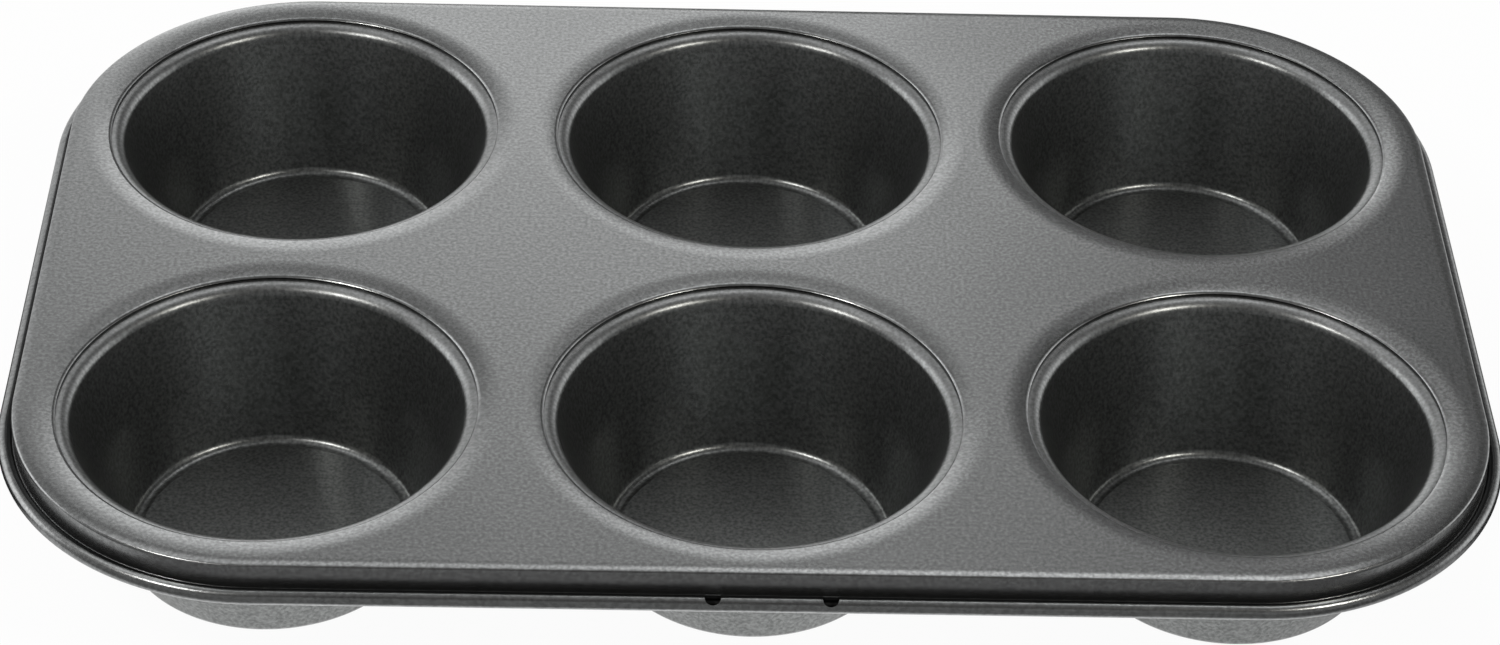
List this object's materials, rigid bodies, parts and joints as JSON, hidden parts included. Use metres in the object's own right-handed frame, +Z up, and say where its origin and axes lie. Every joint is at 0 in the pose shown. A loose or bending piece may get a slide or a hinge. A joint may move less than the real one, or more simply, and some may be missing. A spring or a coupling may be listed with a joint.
{
  "type": "muffin pan",
  "caption": "Low rectangular muffin pan with round corners: a coated steel frame with a curled, wired rim carries rows of tapered round cups.",
  "frame": {"origin": "on the surface that the pan stands on, under the middle of the pan", "axes": "+X along the row of three cups, +Y from the front to the back, +Z up; the two hanging holes are in the front rim"},
  "size_m": [0.2674, 0.1794, 0.0308],
  "materials": {
    "frame_coating": "satin dark grey non-stick coating with a fine even grain",
    "cup_coating": "satin near-black non-stick coating with a fine speckle",
    "wire_steel": "drawn steel wire, hidden in the rim"
  },
  "bodies": {
    "root": {"frame": "frame_coating", "cup_front_left": "cup_coating", "cup_front_middle": "cup_coating", "cup_front_right": "cup_coating", "cup_back_left": "cup_coating", "cup_back_middle": "cup_coating", "cup_back_right": "cup_coating", "rim_wire": "wire_steel"}
  },
  "joints": []
}
